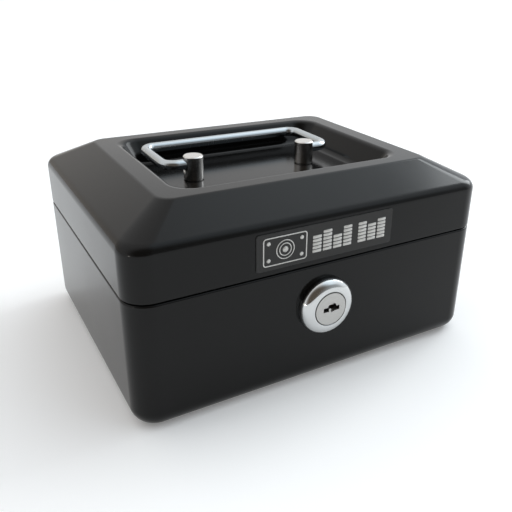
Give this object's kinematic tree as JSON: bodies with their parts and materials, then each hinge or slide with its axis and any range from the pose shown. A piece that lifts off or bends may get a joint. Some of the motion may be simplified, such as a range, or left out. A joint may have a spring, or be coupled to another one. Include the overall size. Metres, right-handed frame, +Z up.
{
  "type": "cash box",
  "caption": "Small steel cash box with a hipped, sunk-top hinged lid, folding wire handle, front cam lock and lift-out coin tray.",
  "frame": {"origin": "centre of the underside, on the surface that the box stands on", "axes": "+X along the front to the right as seen from the front, +Y towards the hinges, +Z up"},
  "size_m": [0.152, 0.1292, 0.0792],
  "materials": {
    "box_paint": "satin black powder coat",
    "plated_steel": "zinc plated",
    "lock_chrome": "polished",
    "plug_nickel": "satin nickel",
    "wire_chrome": "polished",
    "post_nickel": "dark polished nickel",
    "wafer_brass": "stamped",
    "label_foil": "satin charcoal with silver print",
    "tray_plastic": "fine moulded grain"
  },
  "bodies": {
    "base": {"base_pan": "box_paint", "hinge_base_leaf_left": "plated_steel", "hinge_base_leaf_right": "plated_steel", "hinge_rivets_base": "box_paint", "hinge_pin_left": "plated_steel", "hinge_pin_right": "plated_steel", "lock_housing": "lock_chrome", "lock_nut": "plated_steel"},
    "lid": {"lid_shell": "box_paint", "hinge_lid_leaf_left": "plated_steel", "hinge_lid_leaf_right": "plated_steel", "hinge_rivets_lid": "box_paint", "striker_bracket": "plated_steel", "label_plate": "label_foil", "handle_post_left": "post_nickel", "handle_post_right": "post_nickel", "handle_washers": "plated_steel", "handle_screws": "plated_steel"},
    "bail": {"bail_handle": "wire_chrome"},
    "lock_core": {"lock_plug": "plug_nickel", "lock_wafers": "wafer_brass", "wafer_springs": "plated_steel", "lock_cam": "plated_steel", "cam_washer": "plated_steel", "cam_screw": "plated_steel"},
    "tray": {"coin_tray": "tray_plastic"}
  },
  "joints": [
    {"name": "lid_hinge", "type": "hinge", "parent": "base", "child": "lid", "pos_m": [0, 0.0622, 0.05045], "axis": [-1, 0, 0], "range_deg": [0, 100]},
    {"name": "bail_hinge", "type": "hinge", "parent": "lid", "child": "bail", "pos_m": [0, 0, 0.0758], "axis": [1, 0, 0], "range_deg": [-6, 186]},
    {"name": "lock_turn", "type": "hinge", "parent": "base", "child": "lock_core", "pos_m": [-0.0015, -0.06, 0.033], "axis": [0, -1, 0], "range_deg": [0, 90]},
    {"name": "tray_lift", "type": "slide", "parent": "base", "child": "tray", "axis": [0, 0, 1], "range_m": [0, 0.003]}
  ]
}
